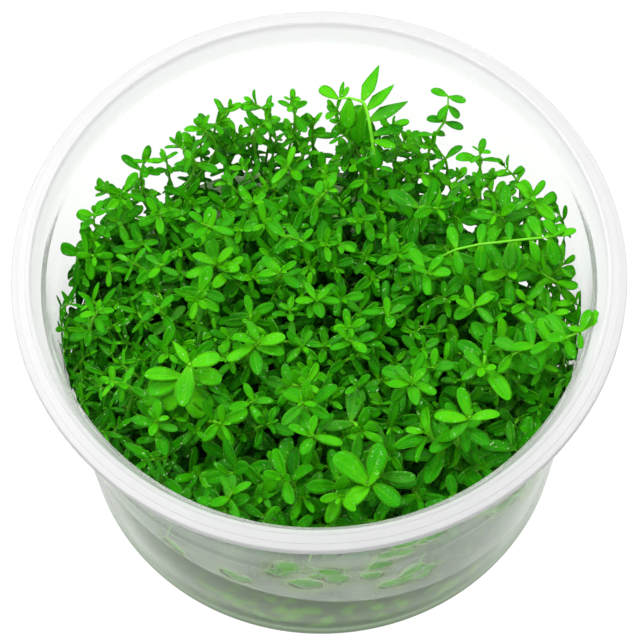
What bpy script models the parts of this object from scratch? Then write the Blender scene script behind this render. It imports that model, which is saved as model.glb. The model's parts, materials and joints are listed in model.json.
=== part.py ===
"""Dwarf rotala in a clear plastic cup, as it comes from tissue culture.

The origin is the centre of the cup's foot, +Z is up and the photograph's near side is -Y.
Run it with: blender --background --python part.py
"""

import math
import random

import bmesh
import bpy
from mathutils import Vector, noise

# The cup, in metres. The radii are those of the outside, except the seat's. The two eases say how far
# the rim's edges are rounded, in thicknesses of the wall.
CUP_HEIGHT = 0.0618
RIM_RADIUS = 0.0540
CREST_RADIUS = 0.0509
SEAT_RADIUS = 0.0484
FOOT_RADIUS = 0.04455
WALL = 0.0008
RIM_DROP = 0.0012
SEAT_DEPTH = 0.0044
LIP_DEPTH = 0.0014
FLOOR = 0.0010
FOOT_HEIGHT = 0.0008
FOOT_WIDTH = 0.0040
CORNER_RADIUS = 0.0024
STEP_HEIGHT = 0.0355
STEP_WIDTH = 0.0004
EDGE_EASE = 0.3
CREST_EASE = 0.4
INNER_CORNER_POINTS = 3
OUTER_CORNER_POINTS = 4
SEGMENTS = 56
MERGE_THRESHOLD = 0.00001

# The gel and the clearance that parts which touch keep. The gel set on a slope: its top falls towards +X.
GAP = 0.0003
GEL_MIDDLE = 0.0187
GEL_SLOPE = -0.20
GEL_LIMIT = 0.0300

# The tuft is an ellipse in plan that meets the wall at the front and the sides, and stops short of it behind.
TUFT_CENTRE_Y = -0.0037
TUFT_HALF_WIDTH = 0.0463
TUFT_HALF_DEPTH = 0.0423
THICKET_FOOT = 0.0235
THICKET_TOP = 0.0490
THICKET_LUMP = 0.0022
THICKET_LUMP_SIZE = 0.0060
THICKET_RINGS = 8
THICKET_SEGMENTS = 36
THICKET_SHOULDER = 0.0050
THICKET_SKIRT = 0.0100
THICKET_FOOT_SHARE = 0.9
THICKET_EDGE_RINGS = 0.4
WELL_HALF_WIDTH = 0.0010

# The shoots. Reach is from the stem's axis to the leaf tips. The bud is the bare end above the last leaves.
STEM_HALF_WIDTH = 0.00038
NODE_LENGTH = 0.0009
BUD_NODES = 2
BUD_SHARE = 0.35
TALL_TOP = 0.0606
TALL_LEVELS = 3
SHORT_TOP = 0.0556
SHORT_LEVELS = 2
TOP_SPREAD = 0.0010
SHORT_REACH = 0.0043
SHORT_COUNT = 24
SHORT_TRIES = 6000
SEED = 11

# A leaf: lengths are shares of the shoot's reach, and widths are shares of the leaf's length.
# The tip's figures are shares of those at the widest place. Rises are in degrees above the level.
LEAF_THICKNESS = 0.00045
LEAF_LENGTH = (0.9, 1.0)
LEAF_WIDTH = (0.46, 0.54)
LEAF_RISE = (10, 20)
LEAF_WIDEST = 0.58
UPPER_LEAF_LENGTH = 0.5
UPPER_LEAF_RISE = (38, 48)
TIP_WIDTH = 0.5
TIP_THICKNESS = 0.6
TIP_RISE = 0.72

# The tall shoots, placed by hand where the photograph shows them: x, y and reach.
TALL_SHOOTS = (
    (-0.0230, -0.0200, 0.0078),
    (0.0074, -0.0360, 0.0064),
    (0.0262, -0.0272, 0.0072),
    (-0.0130, -0.0360, 0.0064),
    (-0.0080, -0.0135, 0.0066),
    (-0.0205, 0.0090, 0.0066),
    (-0.0035, 0.0045, 0.0064),
    (0.0200, -0.0010, 0.0068),
    (0.0130, -0.0190, 0.0064),
    (0.0240, 0.0290, 0.0064),
    (0.0115, 0.0310, 0.0064),
    (0.0380, -0.0115, 0.0072),
    (0.0365, 0.0090, 0.0066),
    (-0.0285, 0.0245, 0.0062),
    (-0.0090, 0.0310, 0.0064),
    (-0.0385, -0.0060, 0.0058),
    (-0.0345, 0.0110, 0.0056),
    (-0.0365, -0.0200, 0.0050),
    (0.0020, 0.0165, 0.0056),
    (0.0215, 0.0125, 0.0056),
    (-0.0215, -0.0050, 0.0056),
    (-0.0020, -0.0265, 0.0052),
    (0.0258, -0.0136, 0.0046),
)


def remove_everything():
    for thing in list(bpy.data.objects):
        bpy.data.objects.remove(thing)


def make_material(name, colour, roughness):
    material = bpy.data.materials.new(name)
    material.use_nodes = True
    shader = material.node_tree.nodes["Principled BSDF"]
    shader.inputs["Base Color"].default_value = (*colour, 1.0)
    shader.inputs["Roughness"].default_value = roughness
    shader.inputs["Metallic"].default_value = 0.0
    return material


def add_object(name, mesh, material):
    thing = bpy.data.objects.new(name, mesh)
    bpy.context.collection.objects.link(thing)
    mesh.materials.append(material)
    return thing


def outer_radius(height):
    """The outer wall's radius, without the stacking step."""
    seat_height = CUP_HEIGHT - SEAT_DEPTH
    return FOOT_RADIUS + (SEAT_RADIUS + WALL - FOOT_RADIUS) * height / seat_height


def inner_radius(height):
    return outer_radius(height) - WALL


def arc(centre, radius, start, end, count):
    """Points (radius, height) on an arc, from the angle start to the angle end in degrees."""
    points = []
    for step in range(count):
        angle = math.radians(start + (end - start) * step / (count - 1))
        points.append((centre[0] + radius * math.cos(angle), centre[1] + radius * math.sin(angle)))
    return points


def cup_profile():
    """Up the inside, over the rim and down the outside."""
    floor_top = FOOT_HEIGHT + FLOOR
    inner_corner = CORNER_RADIUS - WALL
    inside = [(0.0, floor_top)]
    corner = (inner_radius(floor_top + inner_corner) - inner_corner, floor_top + inner_corner)
    inside += arc(corner, inner_corner, -90, 0, INNER_CORNER_POINTS)
    inside.append((inner_radius(STEP_HEIGHT), STEP_HEIGHT))
    inside.append((SEAT_RADIUS, CUP_HEIGHT - SEAT_DEPTH))
    rim_height = CUP_HEIGHT - RIM_DROP
    rim = [
        (CREST_RADIUS - CREST_EASE * WALL, CUP_HEIGHT - EDGE_EASE * WALL),
        (CREST_RADIUS, CUP_HEIGHT),
        (RIM_RADIUS - WALL, rim_height + EDGE_EASE * WALL),
        (RIM_RADIUS, rim_height - CREST_EASE * WALL),
        (RIM_RADIUS, rim_height - LIP_DEPTH),
        (RIM_RADIUS - WALL, rim_height - LIP_DEPTH),
        (RIM_RADIUS - WALL, rim_height - WALL),
        (CREST_RADIUS, CUP_HEIGHT - WALL),
    ]
    seat_height = CUP_HEIGHT - SEAT_DEPTH
    outside = [(outer_radius(seat_height), seat_height - CREST_EASE * WALL)]
    outside.append((outer_radius(STEP_HEIGHT) + 0.5 * STEP_WIDTH, STEP_HEIGHT + STEP_WIDTH))
    outside.append((outer_radius(STEP_HEIGHT) - 0.5 * STEP_WIDTH, STEP_HEIGHT - STEP_WIDTH))
    foot_edge = outer_radius(CORNER_RADIUS) - CORNER_RADIUS
    outside += arc((foot_edge, CORNER_RADIUS), CORNER_RADIUS, 0, -90, OUTER_CORNER_POINTS)
    outside.append((foot_edge - FOOT_WIDTH, 0.0))
    outside.append((foot_edge - FOOT_WIDTH - FOOT_HEIGHT, FOOT_HEIGHT))
    outside.append((0.0, FOOT_HEIGHT))
    return inside + rim + outside


def gel_height(x):
    """The height of the gel's top above the foot of the cup."""
    return GEL_MIDDLE + GEL_SLOPE * x


def gel_profile():
    """Out along a top that stands above the slope, then down the gel's side and under it."""
    bottom = FOOT_HEIGHT + FLOOR + GAP
    corner = CORNER_RADIUS
    return [
        (0.0, GEL_LIMIT),
        (inner_radius(GEL_LIMIT) - GAP, GEL_LIMIT),
        (inner_radius(bottom + corner) - GAP, bottom + corner),
        (inner_radius(bottom + corner) - GAP - corner, bottom),
        (0.0, bottom),
    ]


def add_turned(name, profile, material):
    """A turned piece: the profile's points are joined in order and turned about the Z axis."""
    mesh = bpy.data.meshes.new(name)
    points = [(radius, 0.0, height) for radius, height in profile]
    edges = [(index, index + 1) for index in range(len(points) - 1)]
    mesh.from_pydata(points, edges, [])
    thing = add_object(name, mesh, material)
    screw = thing.modifiers.new("turn", "SCREW")
    screw.axis = "Z"
    screw.steps = SEGMENTS
    screw.render_steps = SEGMENTS
    screw.use_merge_vertices = True
    screw.merge_threshold = MERGE_THRESHOLD
    screw.use_smooth_shade = True
    return thing


def add_cutter(name, bm, cut, material):
    """Takes the solid in bm away from the object cut."""
    mesh = bpy.data.meshes.new(name)
    bm.to_mesh(mesh)
    bm.free()
    cutter = add_object(name, mesh, material)
    cutter.hide_render = True
    cutter.display_type = "WIRE"
    difference = cut.modifiers.new(name, "BOOLEAN")
    difference.operation = "DIFFERENCE"
    difference.solver = "EXACT"
    difference.object = cutter


def slope_gel(gel, material):
    """Cuts the top of the gel to its slope, with a block whose underside is the slope."""
    bm = bmesh.new()
    made = bmesh.ops.create_cube(bm, size=4 * RIM_RADIUS)
    for vert in made["verts"]:
        vert.co.z = CUP_HEIGHT if vert.co.z > 0.0 else gel_height(vert.co.x)
    add_cutter("slope_cutter", bm, gel, material)


def inside_tuft(x, y, reach):
    """Whether a rosette of this reach at (x, y) stays inside the tuft's outline."""
    across = x / (TUFT_HALF_WIDTH - reach)
    along = (y - TUFT_CENTRE_Y) / (TUFT_HALF_DEPTH - reach)
    return across * across + along * along <= 1.0


def scatter_short_shoots(source):
    """Places for the short shoots: clear of the tall shoots' stems and of one another."""
    stem_clearance = SHORT_REACH + STEM_HALF_WIDTH + 3 * GAP
    placed = []
    for _ in range(SHORT_TRIES):
        x = source.uniform(-TUFT_HALF_WIDTH, TUFT_HALF_WIDTH)
        y = source.uniform(TUFT_CENTRE_Y - TUFT_HALF_DEPTH, TUFT_CENTRE_Y + TUFT_HALF_DEPTH)
        if not inside_tuft(x, y, SHORT_REACH):
            continue
        if any(math.hypot(x - tall[0], y - tall[1]) < stem_clearance for tall in TALL_SHOOTS):
            continue
        if any(math.hypot(x - other[0], y - other[1]) < 2 * SHORT_REACH + GAP for other in placed):
            continue
        placed.append((x, y))
        if len(placed) == SHORT_COUNT:
            break
    return placed


def add_leaf(bm, face, length, width, rise, small):
    """Draws a leaf out of one side of the stem: widest past its middle, with a blunt, drooping tip.

    A small leaf goes straight to its tip.
    """
    outward = face.normal.copy()
    up = Vector((0.0, 0.0, 1.0))
    sideways = up.cross(outward)
    centre = face.calc_center_median()
    sections = (
        (LEAF_WIDEST, 1.0, LEAF_THICKNESS, rise),
        (1.0, TIP_WIDTH, TIP_THICKNESS * LEAF_THICKNESS, TIP_RISE * rise),
    )
    for distance, share, thickness, lift in sections[1:] if small else sections:
        middle = centre + outward * (distance * length) + up * (distance * length * math.tan(lift))
        sides = [(vert.co - face.calc_center_median()) for vert in face.verts]
        grown = bmesh.ops.extrude_discrete_faces(bm, faces=[face])
        face = grown["faces"][0]
        for vert, side in zip(face.verts, sides):
            across = math.copysign(0.5 * width * share, side.dot(sideways))
            along = math.copysign(0.5 * thickness, side.dot(up))
            vert.co = middle + sideways * across + up * along


def shoot_mesh(name, height, levels, reach, source):
    """One shoot with its foot at the origin: a square stem with crossed pairs of leaves at its top."""
    bm = bmesh.new()
    half = STEM_HALF_WIDTH
    corners = [(half, half), (-half, half), (-half, -half), (half, -half)]
    first_node = height - (levels + BUD_NODES) * NODE_LENGTH
    heights = [0.0] + [first_node + level * NODE_LENGTH for level in range(levels + 1)] + [height]
    rings = []
    for place, level in enumerate(heights):
        share = BUD_SHARE if place == len(heights) - 1 else 1.0
        rings.append([bm.verts.new((x * share, y * share, level)) for x, y in corners])
    bm.faces.new(list(reversed(rings[0])))
    bm.faces.new(rings[-1])
    leafy = []
    for place in range(len(heights) - 1):
        for side in range(4):
            after = (side + 1) % 4
            low, high = rings[place], rings[place + 1]
            face = bm.faces.new((low[side], low[after], high[after], high[side]))
            if 1 <= place <= levels and side % 2 == place % 2:
                leafy.append((face, place))
    bm.normal_update()
    for face, place in leafy:
        upper = place == TALL_LEVELS
        length = (UPPER_LEAF_LENGTH if upper else source.uniform(*LEAF_LENGTH)) * (reach - half)
        rise = math.radians(source.uniform(*(UPPER_LEAF_RISE if upper else LEAF_RISE)))
        width = length * source.uniform(*LEAF_WIDTH)
        add_leaf(bm, face, length, width, rise, upper)
    mesh = bpy.data.meshes.new(name)
    bm.to_mesh(mesh)
    bm.free()
    return mesh


def add_shoots(material, source):
    """Stands every shoot on the gel and returns their places."""
    clearance = GAP - GEL_SLOPE * 2 * STEM_HALF_WIDTH
    shoots = [(x, y, TALL_TOP, TALL_LEVELS, reach) for x, y, reach in TALL_SHOOTS]
    short_places = scatter_short_shoots(source)
    shoots += [(x, y, SHORT_TOP, SHORT_LEVELS, SHORT_REACH) for x, y in short_places]
    for number, (x, y, top, levels, reach) in enumerate(shoots, start=1):
        foot = gel_height(x) + clearance
        height = top - foot - source.uniform(0.0, TOP_SPREAD)
        name = f"shoot_{number:02d}"
        shoot = add_object(name, shoot_mesh(name, height, levels, reach, source), material)
        shoot.location = (x, y, foot)
        shoot.rotation_euler = (0.0, 0.0, source.uniform(0.0, 0.5 * math.pi))
    return [(x, y) for x, y, *_ in shoots]


def thicket_outline(angle, height):
    """The cushion's edge at this angle and height: the tuft's ellipse, kept clear of the cup's wall."""
    x = (TUFT_HALF_WIDTH - 2 * GAP) * math.cos(angle)
    y = TUFT_CENTRE_Y + (TUFT_HALF_DEPTH - 2 * GAP) * math.sin(angle)
    most = inner_radius(height) - 2 * GAP
    share = min(1.0, most / math.hypot(x, y))
    return Vector((x * share, y * share, 0.0))


def thicket_lump(point):
    """How far the top of the cushion stands above or below its mean height."""
    return THICKET_LUMP * noise.noise(point / THICKET_LUMP_SIZE)


def add_thicket(material):
    """The lumpy cushion: a rounded top of rings, a wall that follows the tuft, and a sloping underside."""
    bm = bmesh.new()
    centre = Vector((0.0, TUFT_CENTRE_Y, 0.0))
    angles = [2 * math.pi * step / THICKET_SEGMENTS for step in range(THICKET_SEGMENTS)]

    def ring(share, height, lumpy=False, slope=0.0):
        verts = []
        lowest = height - abs(slope) * TUFT_HALF_WIDTH
        for angle in angles:
            point = centre.lerp(thicket_outline(angle, lowest), share)
            lift = thicket_lump(point) if lumpy else slope * point.x
            verts.append(bm.verts.new((point.x, point.y, height + lift)))
        return verts

    rings = []
    for step in range(1, THICKET_RINGS + 1):
        share = step / (THICKET_RINGS + THICKET_EDGE_RINGS)
        rings.append(ring(share, THICKET_TOP, lumpy=True))
    rings.append(ring(1.0, THICKET_TOP - THICKET_SHOULDER))
    rings.append(ring(1.0, THICKET_FOOT + THICKET_SKIRT, slope=GEL_SLOPE))
    rings.append(ring(THICKET_FOOT_SHARE, THICKET_FOOT, slope=GEL_SLOPE))
    crown = bm.verts.new((0.0, TUFT_CENTRE_Y, THICKET_TOP + thicket_lump(centre)))
    under = bm.verts.new((0.0, TUFT_CENTRE_Y, THICKET_FOOT))
    for step in range(THICKET_SEGMENTS):
        after = (step + 1) % THICKET_SEGMENTS
        bm.faces.new((crown, rings[0][step], rings[0][after]))
        bm.faces.new((under, rings[-1][after], rings[-1][step]))
        for inner, outer in zip(rings, rings[1:]):
            bm.faces.new((inner[step], outer[step], outer[after], inner[after]))
    bmesh.ops.recalc_face_normals(bm, faces=bm.faces)
    mesh = bpy.data.meshes.new("thicket")
    bm.to_mesh(mesh)
    bm.free()
    return add_object("thicket", mesh, material)


def cut_wells(thicket, places, material):
    """Lets the shoots' stems through the cushion: one square well for each."""
    bm = bmesh.new()
    for x, y in places:
        made = bmesh.ops.create_cube(bm, size=1.0)
        size = (2 * WELL_HALF_WIDTH, 2 * WELL_HALF_WIDTH, CUP_HEIGHT)
        bmesh.ops.scale(bm, vec=size, verts=made["verts"])
        bmesh.ops.translate(bm, vec=(x, y, 0.5 * CUP_HEIGHT), verts=made["verts"])
    add_cutter("well_cutter", bm, thicket, material)


def main():
    remove_everything()
    source = random.Random(SEED)
    milky_plastic = make_material("milky_plastic", (0.86, 0.87, 0.87), 0.25)
    clear_gel = make_material("clear_gel", (0.62, 0.66, 0.60), 0.15)
    leaf_green = make_material("leaf_green", (0.07, 0.36, 0.01), 0.40)
    deep_green = make_material("deep_green", (0.03, 0.16, 0.01), 0.60)
    add_turned("cup", cup_profile(), milky_plastic)
    gel = add_turned("gel", gel_profile(), clear_gel)
    slope_gel(gel, clear_gel)
    places = add_shoots(leaf_green, source)
    thicket = add_thicket(deep_green)
    cut_wells(thicket, places, deep_green)


main()
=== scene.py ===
# %% [markdown]
# # Dwarf rotala in a clear cup
#
# This lesson dresses a plain CAD model of an aquarium plant cup. The real thing is a thin, milky
# plastic cup without its lid, a layer of nutrient gel in the bottom, and several hundred small shoots
# that fill the cup to its rim. The CAD model has the right sizes but few faces, so each of its solids
# is replaced here by a piece with the real outline and a finish of its own.
#
# Lengths are in metres. The origin is the centre of the cup's foot, Z points up, and the side that
# the photograph shows in front is -Y.

# %% Load the CAD model as a fixed frame
import json
import math
import random
from types import SimpleNamespace

import bmesh
import bpy
import numpy as np
from mathutils import Matrix, Vector

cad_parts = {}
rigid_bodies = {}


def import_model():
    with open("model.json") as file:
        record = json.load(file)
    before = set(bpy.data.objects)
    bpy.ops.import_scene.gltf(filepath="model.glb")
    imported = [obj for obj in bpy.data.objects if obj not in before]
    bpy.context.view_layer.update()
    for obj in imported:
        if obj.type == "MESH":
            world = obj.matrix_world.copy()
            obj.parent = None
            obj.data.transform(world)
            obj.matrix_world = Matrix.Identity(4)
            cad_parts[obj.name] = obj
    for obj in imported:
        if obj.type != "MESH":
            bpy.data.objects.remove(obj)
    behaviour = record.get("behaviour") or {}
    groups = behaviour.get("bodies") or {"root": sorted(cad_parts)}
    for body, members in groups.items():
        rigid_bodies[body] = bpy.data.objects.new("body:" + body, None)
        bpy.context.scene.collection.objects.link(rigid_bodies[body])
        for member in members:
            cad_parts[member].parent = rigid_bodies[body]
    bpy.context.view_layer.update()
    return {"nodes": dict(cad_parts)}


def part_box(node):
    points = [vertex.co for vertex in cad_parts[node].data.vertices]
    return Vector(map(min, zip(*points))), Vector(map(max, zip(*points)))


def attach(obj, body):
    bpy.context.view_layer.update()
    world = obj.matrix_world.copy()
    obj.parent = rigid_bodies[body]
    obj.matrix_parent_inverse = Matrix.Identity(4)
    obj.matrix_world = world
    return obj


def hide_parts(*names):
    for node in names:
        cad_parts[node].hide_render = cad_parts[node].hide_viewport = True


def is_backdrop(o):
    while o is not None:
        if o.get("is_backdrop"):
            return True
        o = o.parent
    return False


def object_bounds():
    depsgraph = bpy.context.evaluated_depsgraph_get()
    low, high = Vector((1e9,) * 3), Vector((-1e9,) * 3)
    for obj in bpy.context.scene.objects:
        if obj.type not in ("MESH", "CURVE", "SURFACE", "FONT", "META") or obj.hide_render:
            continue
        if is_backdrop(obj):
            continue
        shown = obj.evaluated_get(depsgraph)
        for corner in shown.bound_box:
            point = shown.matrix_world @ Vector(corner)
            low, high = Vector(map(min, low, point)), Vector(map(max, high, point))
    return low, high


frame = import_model()
MM = 0.001

# %% [markdown]
# ## The camera
#
# Seen from a short distance, the rim and the foot of a wide round cup are two ellipses that aren't
# concentric. Their places and proportions give the camera: ten rim radii from the middle of the rim, a
# little over sixty degrees above the horizon. A constraint could aim it, but plain angles are easier
# to check: the cell prints where three known points land in the picture.

# %% Place the camera
CUP_HEIGHT = 61.8 * MM
CAMERA_ELEVATION = 61.0
CAMERA_DISTANCE = 540 * MM
CAMERA_TILT = 27.98
CAMERA_ROLL = -1.5
CAMERA_LENS = 173.64
SENSOR = 36.0
PICTURE = 640

elevation = math.radians(CAMERA_ELEVATION)
camera_data = bpy.data.cameras.new("photo_camera")
camera_data.lens = CAMERA_LENS
camera_data.sensor_width = SENSOR
camera = bpy.data.objects.new("photo_camera", camera_data)
away = Vector((0.0, -math.cos(elevation), math.sin(elevation)))
camera.location = Vector((0.0, 0.0, CUP_HEIGHT)) + CAMERA_DISTANCE * away
lean = Matrix.Rotation(math.radians(CAMERA_TILT), 3, "X")
roll = Matrix.Rotation(math.radians(CAMERA_ROLL), 3, "Z")
camera.rotation_euler = (lean @ roll).to_euler()
bpy.context.scene.collection.objects.link(camera)
bpy.context.scene.camera = camera
bpy.context.view_layer.update()


def pixel_of(point):
    """Where a point lands in the picture, in pixels from the top left corner."""
    local = camera.matrix_world.inverted() @ Vector(point)
    scale = CAMERA_LENS / SENSOR * PICTURE / -local.z
    return round(PICTURE / 2 + local.x * scale, 1), round(PICTURE / 2 - local.y * scale, 1)


for label, y, z in (("middle of the rim", 0.0, 61.8), ("near rim", -54.0, 60.6), ("near foot", -44.55, 0.0)):
    print(label, "at pixel", pixel_of((0.0, y * MM, z * MM)))

# %% [markdown]
# ## The light
#
# The photograph is a product shot on white, with everything round the cup blown out, shadows too. A
# white world does most of that. One large soft lamp above and behind gives the leaves a bright side,
# and two very small ones put the sparks on wet leaves. The floor is a wide white plane, marked as
# stage because it isn't part of the object.

# %% Light the set and lay the floor
WORLD_STRENGTH = 1.05
LAMPS = (
    # name, watts, size, place
    ("sky_lamp", 5.0, 0.60, (-0.25, 0.30, 0.75)),
    ("right_glint", 2.6, 0.06, (0.32, 0.12, 0.80)),
    ("left_glint", 2.2, 0.06, (-0.30, -0.20, 0.80)),
)
FLOOR_SIZE = 3.0
FLOOR_DROP = 0.05 * MM
WHITE = (1.0, 1.0, 1.0, 1.0)

scene = bpy.context.scene
scene.view_settings.view_transform = "Standard"
world = bpy.data.worlds.new("white_studio")
world.use_nodes = True
backdrop = world.node_tree.nodes["Background"]
backdrop.inputs["Color"].default_value = WHITE
backdrop.inputs["Strength"].default_value = WORLD_STRENGTH
scene.world = world

for name, watts, size, place in LAMPS:
    lamp_data = bpy.data.lights.new(name, "AREA")
    lamp_data.energy = watts
    lamp_data.size = size
    lamp = bpy.data.objects.new(name, lamp_data)
    lamp.location = place
    lamp.rotation_euler = Vector(place).to_track_quat("Z", "Y").to_euler()
    scene.collection.objects.link(lamp)

floor_mesh = bpy.data.meshes.new("floor")
half = FLOOR_SIZE / 2
corners = [(-half, -half), (half, -half), (half, half), (-half, half)]
floor_mesh.from_pydata([(x, y, -FLOOR_DROP) for x, y in corners], [], [(0, 1, 2, 3)])
floor = bpy.data.objects.new("floor", floor_mesh)
scene.collection.objects.link(floor)
floor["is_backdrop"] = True
print("floor", FLOOR_SIZE, "m square, world strength", WORLD_STRENGTH)

# %% [markdown]
# ## A helper for node trees
#
# A finish is a tree of nodes, and so is a Geometry Nodes modifier. Linking them one by one hides the
# idea behind plumbing. The small class below wraps one socket: sums and products of wires add Math
# nodes, so that a mask can be written as `1 - edge * 0.4`. Its `node` method makes every other kind
# of node: settings first, then the values or wires of its sockets.

# %% Define the wire
class Wire:
    """One socket of a node tree, with arithmetic."""

    def __init__(self, tree, socket=None):
        self.tree = tree
        self.socket = socket

    def node(self, kind, settings=None, values=None, output=0):
        """Adds a node to this wire's tree and returns a wire from one of its outputs."""
        made = self.tree.nodes.new(kind)
        for name, setting in (settings or {}).items():
            if name == "stops":
                ramp = made.color_ramp
                while len(ramp.elements) < len(setting):
                    ramp.elements.new(1.0)
                for element, (position, colour) in zip(ramp.elements, setting):
                    element.position = position
                    element.color = colour
            else:
                setattr(made, name, setting)
        for key, value in (values or {}).items():
            if isinstance(value, Wire):
                self.tree.links.new(value.socket, made.inputs[key])
            else:
                made.inputs[key].default_value = value
        return Wire(self.tree, made.outputs[output] if made.outputs else None)

    def also(self, output):
        """Another output of the node that this wire comes from."""
        return Wire(self.tree, self.socket.node.outputs[output])

    def math(self, operation, *others):
        return self.node("ShaderNodeMath", {"operation": operation}, dict(enumerate((self, *others))))

    def vector(self, operation, *others, output=0):
        values = dict(enumerate((self, *others)))
        return self.node("ShaderNodeVectorMath", {"operation": operation}, values, output)

    def scaled(self, factor):
        """This vector made longer or shorter."""
        return self.node("ShaderNodeVectorMath", {"operation": "SCALE"}, {0: self, "Scale": factor})

    def blend(self, first, second):
        """A colour from first, where this wire is 0, to second, where it is 1."""
        return self.node("ShaderNodeMix", {"data_type": "RGBA"}, {0: self, 6: first, 7: second}, 2)

    def noise(self, scale, detail):
        """A cloudy pattern on the places that this wire gives."""
        values = {"Vector": self, "Scale": scale, "Detail": detail}
        return self.node("ShaderNodeTexNoise", None, values, "Fac")

    def surface(self, **values):
        """A Principled shader. A socket's name has underscores for its spaces."""
        values = {name.replace("_", " "): value for name, value in values.items()}
        return self.node("ShaderNodeBsdfPrincipled", None, values)

    def __add__(self, other):
        return self.math("ADD", other)

    __radd__ = __add__

    def __sub__(self, other):
        return self.math("SUBTRACT", other)

    def __rsub__(self, other):
        return self.node("ShaderNodeMath", {"operation": "SUBTRACT"}, {0: other, 1: self})

    def __mul__(self, other):
        return self.math("MULTIPLY", other)

    __rmul__ = __mul__

    def __truediv__(self, other):
        return self.math("DIVIDE", other)


def positive(wire):
    return wire.math("MAXIMUM", 0.0)


def held(wire):
    """The wire's value held between 0 and 1."""
    return positive(wire).math("MINIMUM", 1.0)


def start_finish(name):
    """A new material and a wire to start its nodes from."""
    material = bpy.data.materials.new(name)
    material.use_nodes = True
    material.node_tree.nodes.clear()
    return material, Wire(material.node_tree)


def place_on(start):
    """The place on the piece, in the piece's own coordinates."""
    return start.node("ShaderNodeTexCoord", None, None, "Object")


def close_finish(shader):
    shader.node("ShaderNodeOutputMaterial", None, {"Surface": shader})


FLOOR_GREY = (0.04, 0.04, 0.04, 1.0)
floor_finish, start = start_finish("white_sweep")
close_finish(start.surface(Base_Color=FLOOR_GREY, Roughness=1.0, Emission_Strength=1.0, Emission_Color=WHITE))
floor_mesh.materials.append(floor_finish)
print("floor finish has", len(floor_finish.node_tree.nodes), "nodes")

# %% [markdown]
# ## The cup
#
# The cup is one moulding of milky polypropylene, under a millimetre thick. It is round, so half a
# section is drawn and turned about the Z axis. A Screw modifier would do the same, but making the
# rings directly keeps the poles closed and the mesh final. The section follows the CAD solid: foot
# ring, slightly tapered wall, stacking step, the slope on which the lid sits, and a flange that falls
# to a short skirt. Small ribs on the flange make the fine grey lines of the photograph.

# %% Draw the cup's section
WALL = 0.8 * MM
RIM_RADIUS = 54.0 * MM
CREST_RADIUS = 50.9 * MM
SEAT_RADIUS = 48.4 * MM
SEAT_HEIGHT = 57.4 * MM
FOOT_RADIUS = 44.55 * MM
FLOOR_TOP = 1.8 * MM
STEP_HEIGHT = 35.5 * MM
SKIRT_TOP = 60.6 * MM
SKIRT_FOOT = 59.2 * MM


def wall_radius(height):
    """The radius of the wall's inner face."""
    return FOOT_RADIUS + (SEAT_RADIUS + WALL - FOOT_RADIUS) * height / SEAT_HEIGHT - WALL


STEP_RADIUS = wall_radius(STEP_HEIGHT)
CUP_CORNERS = (
    # a radius and mm added to it, a height and mm added to it, and the rounding in mm,
    # up the inside and down the outside
    (0.0, 0.0, FLOOR_TOP, 0.0, 0.0),
    (wall_radius(FLOOR_TOP), 0.0, FLOOR_TOP, 0.0, 1.6),
    (STEP_RADIUS, 0.2, STEP_HEIGHT, -0.7, 0.5),
    (STEP_RADIUS, -0.2, STEP_HEIGHT, 0.9, 0.5),
    (SEAT_RADIUS, -0.25, SEAT_HEIGHT, -0.1, 0.1),
    (SEAT_RADIUS, 0.15, SEAT_HEIGHT, 0.1, 0.1),
    (CREST_RADIUS, -0.35, CUP_HEIGHT, -0.25, 0.3),
    (CREST_RADIUS, 0.0, CUP_HEIGHT, 0.0, 0.2),
    (CREST_RADIUS, 0.5, CUP_HEIGHT, -0.22, 0.2),
    (CREST_RADIUS, 0.6, CUP_HEIGHT, -0.34, 0.12),
    (CREST_RADIUS, 1.9, CUP_HEIGHT, -0.74, 0.12),
    (CREST_RADIUS, 2.0, CUP_HEIGHT, -0.84, 0.12),
    (RIM_RADIUS, 0.0, SKIRT_TOP, 0.0, 0.5),
    (RIM_RADIUS, 0.0, SKIRT_FOOT, 0.0, 0.15),
    (RIM_RADIUS, -0.6, SKIRT_FOOT, 0.0, 0.15),
    (RIM_RADIUS, -0.7, SKIRT_TOP, -0.6, 0.3),
    (CREST_RADIUS, 0.1, CUP_HEIGHT, -1.0, 0.4),
    (SEAT_RADIUS, 0.8, SEAT_HEIGHT, -0.4, 0.5),
    (STEP_RADIUS, 1.0, STEP_HEIGHT, 0.9, 0.5),
    (STEP_RADIUS, 0.76, STEP_HEIGHT, -0.7, 0.5),
    (FOOT_RADIUS, 0.0, 0.0, 0.0, 2.4),
    (FOOT_RADIUS, -4.0, 0.0, 0.0, 0.2),
    (FOOT_RADIUS, -4.8, 0.0, 0.8, 0.2),
    (0.0, 0.0, 0.0, 0.8, 0.0),
)


def rounded(corners, radii, steps=4):
    """The corners joined by straight lines, each rounded to its own radius."""
    corners = [Vector(corner) for corner in corners]
    line = [corners[0]]
    for before, corner, after, radius in zip(corners, corners[1:], corners[2:], radii):
        to_before, to_after = (before - corner).normalized(), (after - corner).normalized()
        reach = radius / math.tan(to_before.angle(to_after) / 2)
        reach = min(reach, 0.45 * min((before - corner).length, (after - corner).length))
        start_point, end_point = corner + to_before * reach, corner + to_after * reach
        for step in range(steps + 1):
            share = step / steps
            line.append(start_point.lerp(corner, share).lerp(corner.lerp(end_point, share), share))
    return [*line, corners[-1]]


section = rounded(
    [(radius + out * MM, height + up * MM) for radius, out, height, up, _ in CUP_CORNERS],
    [rounding * MM for *_, rounding in CUP_CORNERS[1:-1]],
)
print("the cup's section has", len(section), "points")

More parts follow.
